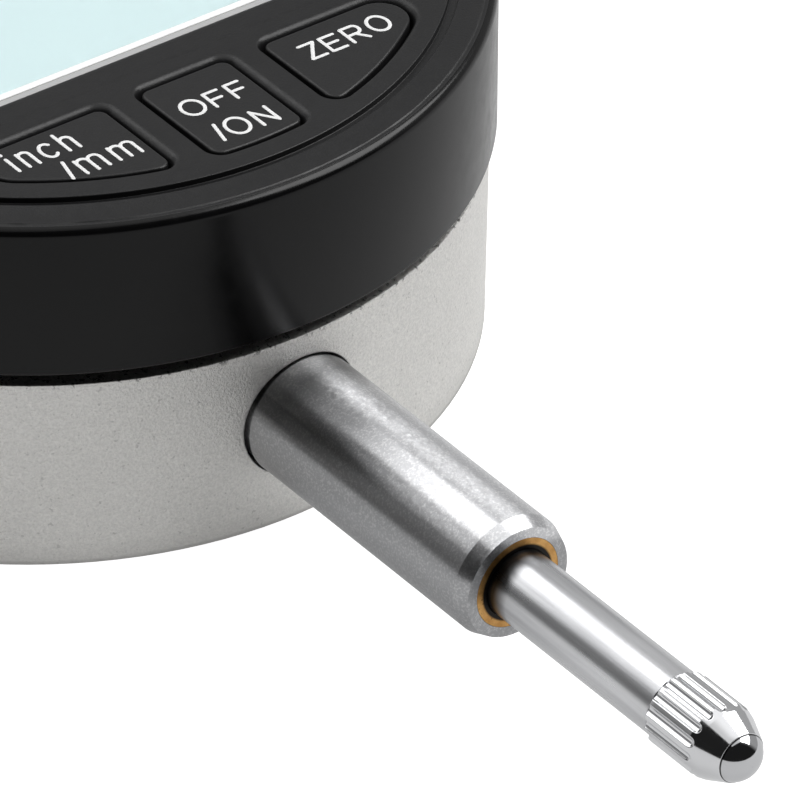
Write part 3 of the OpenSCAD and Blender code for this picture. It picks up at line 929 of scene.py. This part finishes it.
def key_lip(outline):
    """Loops of a key's opening, from the flat face down: its edge is crisp on the near and left
    sides and rounded on the far and right sides."""
    def shifted(g):
        return [(x + LIP_SHIFT[0], y + LIP_SHIFT[1]) for x, y in outline(g)]

    inner = [(x, y + LIP_RISE) for x, y in outline(LIP_GAP)]
    outer = shifted(LIP_GROW)
    loops = [(shifted(LIP_GROW + 0.1), FACE_Z)]
    for k in range(7):
        a = radians(15 * k)
        out = 1 - sin(a)
        row = [(x + (u - x) * out, y + (v - y) * out) for (x, y), (u, v) in zip(inner, outer)]
        loops.append((row, FACE_Z - LIP_DEPTH * (1 - cos(a))))
    loops.append((outline(KEY_GAP), PLATE_Z))
    return loops


def display_lip():
    """The display opening: a border barely higher than the face, then a rounded edge."""
    border = FACE_Z + 0.03
    rows = [(2.05, FACE_Z), (1.95, FACE_Z), (1.87, border), (1.77, border), (0.75, border),
            (0.6, border)]
    for a in (0, 20, 40, 60, 75, 90):
        t = radians(a)
        rows.append((0.5 - 0.42 * sin(t), border - 0.3 + 0.3 * cos(t)))
    rows.append((0.08, PLATE_Z))
    return [(window_outline(g), z) for g, z in rows]


def bezel_shell():
    """The bezel before its door and port openings are cut."""
    skin = Skin()
    inside = rounded([(SPIGOT_R + 0.4, SKIRT_Z, 0), (SPIGOT_R, SKIRT_Z, 0.1), (SPIGOT_R, SPIGOT_Z, 0.2),
                      (BEZEL_IN_R, SPIGOT_Z, 0.2), (BEZEL_IN_R, PLATE_Z, 0)])
    rings = turned_rings(skin, outer_profile() + inside)
    skin.bands(rings)
    openings = [display_lip(), key_lip(middle_key_outline), key_lip(side_key_outline),
                key_lip(unit_key_outline)]
    tops = []
    bottoms = []
    for rows in openings:
        loops = [skin.loop(outline, z) for outline, z in rows]
        skin.bands(loops)
        tops.append(loops[0])
        bottoms.append(loops[-1])
    skin.fill([rings[0]] + tops)
    skin.fill([rings[-1]] + bottoms)
    return skin.mesh("bezel")


def bezel_blank():
    """The bezel's outer form as one closed solid, from which the door and port cover are cut."""
    skin = Skin()
    rings = turned_rings(skin, outer_profile())
    skin.bands(rings)
    skin.cap(rings[0])
    skin.cap(rings[-1])
    return skin.mesh("blank")


def plastic_piece(name, mesh):
    """A piece of the bezel's plastic: satin in front and semi-gloss on the wall."""
    for face in mesh.polygons:
        side = hypot(*face.center.xy) > RIM_R + 0.1 and hypot(*face.normal.xy) > 0.3
        face.material_index = 1 if side else 0
    return finish_piece(name, mesh, [SLOT_LOOKS["bezel_plastic"], WALL], 32)


def front_bezel():
    gap = 0.1
    cutters = [
        block_mesh(((-DOOR_X - gap, DOOR_Y - gap, PLATE_Z - 1), (DOOR_X + gap, 31, 26))),
        block_mesh(((-DOOR_X - gap, DOOR_LIP_Y - gap, DOOR_LIP_Z - gap), (DOOR_X + gap, 31, 26))),
        block_mesh(((-DOOR_X - 0.9, DOOR_Y + 0.6, 22.9), (DOOR_X + 0.9, 31, 23.7))),
        block_mesh(((24, -PORT_HALF_W - gap, PORT_FOOT - gap),
                    (31, PORT_HALF_W + gap, PORT_TOP + gap)), PORT_ANGLE),
    ]
    for angle in SCREW_ANGLES:
        a = radians(angle)
        cutters.append(post_mesh(SCREW_R * cos(a), SCREW_R * sin(a), 0.62, 12, 18.5))
    mesh = cut(bezel_shell(), joined(cutters), "DIFFERENCE")
    piece = plastic_piece("front_bezel_shell", mesh)
    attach(piece, "case")
    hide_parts("front_bezel")


def battery_door():
    """The sliding door: the bezel's own form, with finger ridges near its outer end."""
    top = block_mesh(((-DOOR_X, DOOR_Y, PLATE_Z + 0.05), (DOOR_X, 30, 26)))
    end = block_mesh(((-DOOR_X, DOOR_LIP_Y, DOOR_LIP_Z), (DOOR_X, 30, 26)))
    mesh = cut(bezel_blank(), cut(top, end, "UNION"), "INTERSECT")
    rails = block_mesh(((-DOOR_X - 0.8, DOOR_Y + 0.7, 23), (DOOR_X + 0.8, 20, 23.6)))
    mesh = cut(mesh, rails, "UNION")
    grips = [block_mesh(((-3.4, 18.6 + 0.95 * i, FACE_Z - 0.22), (3.4, 19.05 + 0.95 * i, 26)))
             for i in range(5)]
    mesh = cut(mesh, joined(grips), "DIFFERENCE")
    piece = plastic_piece("battery_door_cap", mesh)
    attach(piece, "battery_door")
    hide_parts("battery_door")


def data_port_cover():
    """The port cover: the bezel's own wall, with a pull notch along its lower edge."""
    body = block_mesh(((25.4, -PORT_HALF_W, PORT_FOOT), (30, PORT_HALF_W, PORT_TOP)), PORT_ANGLE)
    mesh = cut(bezel_blank(), body, "INTERSECT")
    notch = block_mesh(((28.1, -1.5, PORT_FOOT - 1), (30, 1.5, PORT_FOOT + 0.45)), PORT_ANGLE)
    mesh = cut(mesh, notch, "DIFFERENCE")
    piece = plastic_piece("port_cover_cap", mesh)
    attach(piece, "data_port_cover")
    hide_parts("data_port_cover")


# ---- display ----

def display_frame():
    """The white frame round the display: a flat inner band and a duller, lower outer step in painted
    shade.
    """
    rows = [(-0.1, PLATE_Z - 0.05), (-0.1, FRAME_TOP - 0.14), (-0.14, FRAME_TOP - 0.1),
            (-0.69, FRAME_TOP - 0.08), (-0.71, FRAME_TOP - 0.06), (-0.71, FRAME_TOP - 0.02),
            (-0.73, FRAME_TOP), (-1.18, FRAME_TOP), (-1.23, FRAME_TOP - 0.03),
            (-FRAME_BAND, FRAME_TOP - 0.1), (-FRAME_BAND, GLASS_HIGH.z + 0.05),
            (0.55, GLASS_HIGH.z + 0.05), (0.55, GLASS_LOW.z + 0.3), (1.3, GLASS_LOW.z + 1.5),
            (1.3, PLATE_Z - 0.05)]
    skin = Skin()
    loops = [skin.loop(window_outline(g), z) for g, z in rows]
    skin.bands(loops)
    skin.band(loops[-1], loops[0])
    step = FRAME_TOP - 0.05

    def pick(centre, normal):
        return 1 if PLATE_Z < centre.z < step and normal.z > 0.5 else 0

    piece = skin.done("display_frame_bezel", [SLOT_LOOKS["frame_plastic"], SHADE], pick=pick)
    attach(piece, "case")
    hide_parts("lcd_frame")


DIGIT_H = 8.4
DIGIT_W = 4.6
SEGMENT_W = 0.95
SLANT = tan(radians(6))
DIGIT_Y = -0.2
LOW, MIDDLE, TOP = 0, DIGIT_H / 2, DIGIT_H
ZERO_BARS = [((0, TOP), (DIGIT_W, TOP)), ((DIGIT_W, MIDDLE), (DIGIT_W, TOP)),
             ((DIGIT_W, LOW), (DIGIT_W, MIDDLE)), ((0, LOW), (DIGIT_W, LOW)), ((0, LOW), (0, MIDDLE)),
             ((0, MIDDLE), (0, TOP))]


def bar_outline(start, end):
    """One bar of a seven-segment digit, as a six-sided outline at the digit's own origin."""
    w = SEGMENT_W / 2
    start = Vector(start)
    end = Vector(end)
    way = (end - start).normalized()
    side = Vector((-way.y, way.x)) * w
    start = start + way * 0.12
    end = end - way * 0.12
    points = [start, start + way * w - side, end - way * w - side, end,
              end - way * w + side, start + way * w + side]
    return [(p.x + p.y * SLANT, p.y) for p in points]


def display_digits():
    """A resting display: a generic zero reading, with its unit, printed just over the glass."""
    skin = Skin()
    z0 = GLASS_HIGH.z - 0.01
    z1 = GLASS_HIGH.z + 0.03
    for x in (-7.2, 0.6, 7.0):
        for start, end in ZERO_BARS:
            skin.slab([(x + px, DIGIT_Y + py) for px, py in bar_outline(start, end)], z0, z1)
    skin.slab([(-1.35 + px, DIGIT_Y - 0.2 + py) for px, py in circle(0.5, 20)], z0, z1)
    for x in (14.2, 16.6):
        for path in letter("m", x, DIGIT_Y + 6.2, 2.0, 2.0):
            skin.tube([(px, py, z0) for px, py in path], 0.16, sides=8, flat=0.2)
    piece = skin.done("display_digits", [SEGMENT_INK])
    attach(piece, "case")


# ---- keys and their labels ----

def key_cap(outline, plunger_x, name, body):
    """A key: a retaining flange, a straight wall, a rounded top edge and a plunger underneath."""
    flange_z = PLATE_Z - 0.2
    edge = 0.18
    rows = [(FLANGE - 0.05, KEY_LOW_Z), (FLANGE, KEY_LOW_Z + 0.05), (FLANGE, flange_z - 0.1),
            (FLANGE - 0.1, flange_z), (0.08, flange_z), (0, flange_z + 0.08)]
    rows += [(x - edge, KEY_TOP_Z - edge + z) for x, z in arc(0, 0, edge, 0, 90, 5)]
    rows.append((-edge - 0.1, KEY_TOP_Z))
    skin = Skin()
    loops = [skin.loop(outline(g), z) for g, z in rows]
    skin.bands(loops)
    skin.cap(loops[-1])
    pin = [(plunger_x + x, PLUNGER_Y + y) for x, y in circle(1.2, 40)]
    root = skin.loop(pin, KEY_LOW_Z)
    foot = skin.loop(pin, POWER_LOW.z)
    skin.band(root, foot)
    skin.cap(foot)
    skin.fill([loops[0], root])
    piece = skin.done(name + "_cap", [SLOT_LOOKS["key_plastic"]])
    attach(piece, body)
    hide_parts(name)


def letter(ch, x, y, w, h):
    """Strokes of a plain letter in a box of width w and height h. Lower case fills the box too."""
    def at(*points):
        return [(x + px * w, y + py * h) for px, py in points]

    def bow(cx, cy, rx, ry, a0, a1, n=16):
        return at(*[(cx + rx * u, cy + ry * v) for u, v in arc(0, 0, 1, a0, a1, n)])

    def arch(x0, x1, top):
        r = (x1 - x0) / 2
        rise = r * w / h
        return bow(x0 + r, top - rise, r, rise, 180, 0) + at((x1, 0))

    post = at((0, 0), (0, 1))
    top = at((0, 1), (1, 1))
    foot = at((0, 0), (1, 0))
    return {
        "O": [bow(0.5, 0.5, 0.5, 0.5, 90, 450, 40)],
        "F": [post, top, at((0, 0.5), (0.86, 0.5))],
        "N": [post, at((0, 1), (1, 0)), at((1, 0), (1, 1))],
        "Z": [top, at((1, 1), (0, 0)), foot],
        "E": [post, top, at((0, 0.52), (0.86, 0.52)), foot],
        "R": [post, at((0, 1), (0.6, 1)) + bow(0.66, 0.74, 0.3, 0.26, 90, -90)
              + at((0, 0.48)), at((0.5, 0.48), (1, 0))],
        "i": [at((0.5, 0), (0.5, 0.72)), at((0.5, 0.97), (0.5, 1))],
        "n": [post, arch(0, 1, 1)],
        "c": [bow(0.55, 0.5, 0.55, 0.5, 45, 315, 24)],
        "h": [post, arch(0, 1, 0.73)],
        "m": [post, arch(0, 0.5, 1), arch(0.5, 1, 1)],
        "/": [at((1, 1), (0, 0))],
    }[ch]


LABELS = {
    "key_power": [("O", -2.15, -19.65, 1.44, 1.6), ("F", -0.17, -19.62, 0.98, 1.52),
                  ("F", 1.4, -19.58, 0.98, 1.52), ("/", -1.92, -22.75, 0.4, 1.7),
                  ("O", -1.12, -22.78, 1.44, 1.72), ("N", 0.95, -22.8, 1.12, 1.6)],
    "key_zero": [("Z", 7.5, -18.82, 1.05, 1.55), ("E", 9.02, -18.82, 1.02, 1.55),
                 ("R", 10.62, -18.8, 1.15, 1.58), ("O", 12.33, -18.75, 1.32, 1.62)],
    "key_unit": [("i", -13.78, -18.4, 0.3, 2.0), ("n", -12.87, -18.38, 0.72, 1.48),
                 ("c", -11.5, -18.35, 0.85, 1.45), ("h", -9.95, -18.35, 0.74, 1.88),
                 ("/", -11.52, -20.86, 0.43, 1.74), ("m", -10.5, -20.9, 1.6, 1.45),
                 ("m", -8.1, -20.88, 1.55, 1.42)],
}


def label(name, body):
    """The raised white lettering on a key's face."""
    skin = Skin()
    for ch, x, y, w, h in LABELS[name]:
        for path in letter(ch, x, y, w, h):
            closed = ch == "O"
            points = [(px, py, INK_Z) for px, py in (path[:-1] if closed else path)]
            skin.tube(points, INK_HALF, sides=12, closed=closed, flat=INK_FLAT)
    piece = skin.done(name + "_label", [INK], angle=60)
    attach(piece, body)


def keys():
    key_cap(unit_key_outline, -SIDE_PLUNGER_X, "key_unit", "key_unit")
    key_cap(middle_key_outline, 0, "key_power", "key_power")
    key_cap(side_key_outline, SIDE_PLUNGER_X, "key_zero", "key_zero")
    for name in LABELS:
        label(name, name)


# ---- contact point and return spring ----

FLUTE_SOFT = 0.09


def flute(s, angle, r):
    """The radius left at a height and angle after the grip flutes are cut, with softened edges."""
    axis_r = GRIP_R + 0.14
    cutter = 0.34
    end = SHOULDER + 3.9
    pitch = 2 * pi / FLUTES
    off = (angle + pitch / 2) % pitch - pitch / 2
    left = cutter ** 2 - max(0, s - end) ** 2 - (axis_r * sin(off)) ** 2
    if left <= 0 or s < SHOULDER:
        return r
    floor_r = axis_r * cos(off) - sqrt(left)
    part = min(1, max(0, 0.5 + 0.5 * (floor_r - r) / FLUTE_SOFT))
    return floor_r + (r - floor_r) * part - FLUTE_SOFT * part * (1 - part)


def contact_point():
    """The fluted chrome contact point, with its threaded stud and the seat of its ball."""
    start = SHOULDER - 4.6
    face = SHOULDER + 0.02
    scallop = SHOULDER + 3.4
    outline = rounded([
        (start, 0, 0), (start, 1.23, 0.15), (face, 1.23, 0), (face, GRIP_R, 0.09),
        (scallop, GRIP_R, 0), (SHOULDER + 3.82, GRIP_R, 0.3), (SHOULDER + 4.37, 2.3, 0.25),
        (TIP_END, 1.64, 0.03), (TIP_END, 1.59, 0)], steps=5)
    profile = []
    for a, b in zip(outline, outline[1:]):
        row = 0.03 if a[0] >= scallop and b[1] > 2 else 0.3
        n = max(1, round(abs(b[0] - a[0]) / row))
        profile += [(a[0] + (b[0] - a[0]) * i / n, a[1] + (b[1] - a[1]) * i / n) for i in range(n)]
    profile.append(outline[-1])
    deep = [(BALL_AT + BALL_SEAT_R * cos(radians(t)), BALL_SEAT_R * sin(radians(t)))
            for t in (66, 80, 95, 110, 125, 140, 155, 168)]
    deep.append((BALL_AT - BALL_SEAT_R, 0))
    skin = Skin()
    skin.lathe(profile + deep, FLUTES * 36, lambda s, u, v: (u, -s, AXIS_Z + v), squeeze=flute)
    piece = skin.done("contact_point_fluted", [SLOT_LOOKS["contact_chrome"]], angle=75)
    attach(piece, "spindle_train")
    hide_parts("contact_point")


def return_spring():
    """A wound extension spring, hooked round its two posts."""
    x = (POST_LOW.x + POST_HIGH.x) / 2
    y0 = (POST_LOW.y + POST_HIGH.y) / 2
    y1 = (HOOK_LOW.y + HOOK_HIGH.y) / 2
    wire = 0.2
    eye = 1.25
    coil = 1.35
    first = y0 + 1.6
    last = y1 - 1.8
    steps = 26 * 20

    def hook(y, start):
        return [(*point, AXIS_Z) for point in arc(x, y, eye, start, start + 290, 14)]

    path = hook(y0, -210)
    for k in range(steps + 1):
        a = 2 * pi * k / 20 + pi / 2
        y = first + (last - first) * k / steps
        path.append((x + coil * cos(a), y, AXIS_Z + coil * sin(a)))
    path += hook(y1, -100)
    skin = Skin()
    skin.tube(path, wire, sides=8, up=Vector((0.001, 1, 0.001)))
    piece = skin.done("return_spring_coil", [SLOT_LOOKS["spring_steel"]], angle=60)
    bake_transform(piece)
    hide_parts("return_spring")


# ---- floor, light and camera ----

def floor():
    """A plain pale table top, lit softly from below. The camera sees it as pure white."""
    bm = bmesh.new()
    bmesh.ops.create_grid(bm, x_segments=24, y_segments=24, size=2.5)
    mesh = baked(bm, "floor")
    look = Look("floor_look", (0.30, 0.30, 0.30), Roughness=0.9)
    look.mottle(60, (0.29, 0.29, 0.29), (0.31, 0.31, 0.31), detail=2)
    glow = look.node("ShaderNodeEmission", Strength=1.0)
    seen = look.node("ShaderNodeLightPath").outputs["Is Camera Ray"]
    table = look.node("ShaderNodeEmission", Strength=0.4)
    extra = look.node("ShaderNodeMixShader", [(0, seen), (1, table.outputs[0]), (2, glow.outputs[0])])
    total = look.node("ShaderNodeAddShader", [(0, look.shader.outputs[0]), (1, extra.outputs[0])])
    out = look.tree.nodes["Material Output"]
    look.tree.links.new(total.outputs[0], out.inputs["Surface"])
    mesh.materials.append(look.material)
    piece = added("floor", mesh)
    piece.location.z = -0.02 * MM


def softbox(name, azimuth, elevation, width, height, radiance, distance=0.9, aim=(0, -0.02, 0.015)):
    """A rectangular lamp. azimuth turns from +Y towards +X; radiance is relative to white."""
    data = bpy.data.lights.new(name, "AREA")
    data.shape = "RECTANGLE"
    data.size = width
    data.size_y = height
    data.energy = radiance * pi * width * height
    lamp = added(name, data)
    az = radians(azimuth)
    el = radians(elevation)
    way = Vector((sin(az) * cos(el), cos(az) * cos(el), sin(el)))
    lamp.location = Vector(aim) + way * distance
    lamp.rotation_euler = way.to_track_quat("Z", "Y").to_euler()


def lights():
    softbox("softbox_back", -2, 51, 0.54, 0.40, 2.5)
    softbox("softbox_left", -36, 35, 0.26, 0.36, 1.4)
    softbox("card_left", -48, 12, 0.22, 0.36, 0.22)
    softbox("ceiling", 0, 90, 0.9, 0.9, 0.75)
    softbox("key_lamp", 110, 50, 0.66, 0.54, 6.0)


def world():
    """A dim studio, paler behind the object and to its right. The camera sees plain white."""
    scene_world = bpy.data.worlds.new("studio")
    scene.world = scene_world
    scene_world.use_nodes = True
    tree = scene_world.node_tree
    tree.nodes.clear()
    place = add_node(tree, "ShaderNodeTexCoord")
    pale = add_node(tree, "ShaderNodeVectorMath", [(0, place.outputs["Generated"])])
    pale.operation = "DOT_PRODUCT"
    pale.inputs[1].default_value = (0.6, 0.7, 0.35)
    ramp = add_node(tree, "ShaderNodeMapRange", [("Value", pale.outputs["Value"])],
                    From_Min=0.03, From_Max=0.35, To_Min=0.02, To_Max=0.55)
    ramp.interpolation_type = "SMOOTHSTEP"
    room = add_node(tree, "ShaderNodeBackground", [("Strength", ramp.outputs[0])])
    white = add_node(tree, "ShaderNodeBackground", Strength=1.2)
    seen = add_node(tree, "ShaderNodeLightPath").outputs["Is Camera Ray"]
    mix = add_node(tree, "ShaderNodeMixShader", [(0, seen), (1, room.outputs[0]), (2, white.outputs[0])])
    add_node(tree, "ShaderNodeOutputWorld", [("Surface", mix.outputs[0])])
    view = scene.view_settings
    view.view_transform = "Standard"
    view.look = "None"


CAMERA_TURN = 37.839
CAMERA_RISE = 35.196
CAMERA_ROLL = 1.291
CAMERA_DISTANCE = 631.146
CAMERA_AIM = (-22.949, 6.451)
CAMERA_LENS = 459.68


def camera():
    """The camera at the photographed angle, close to the lower right of the face."""
    turn, rise, roll = [radians(a) for a in (CAMERA_TURN, CAMERA_RISE, CAMERA_ROLL)]
    flat = cos(rise)
    back = Vector((-sin(turn) * flat, -cos(turn) * flat, sin(rise)))
    level = Vector((cos(turn), -sin(turn), 0))
    upright = back.cross(level)
    right = level * cos(roll) + upright * sin(roll)
    up = upright * cos(roll) - level * sin(roll)
    spot = right * -CAMERA_AIM[0] + up * -CAMERA_AIM[1] + back * CAMERA_DISTANCE
    data = bpy.data.cameras.new("camera")
    data.lens = CAMERA_LENS
    data.sensor_width = 36
    data.clip_start = 0.05
    data.clip_end = 20
    eye = added("camera", data)
    eye.matrix_world = Matrix((right, up, back)).transposed().to_4x4()
    eye.location = spot * MM
    scene.camera = eye


camera()
world()
lights()
floor()
dress_frame()
front_bezel()
battery_door()
data_port_cover()
display_frame()
display_digits()
keys()
contact_point()
return_spring()
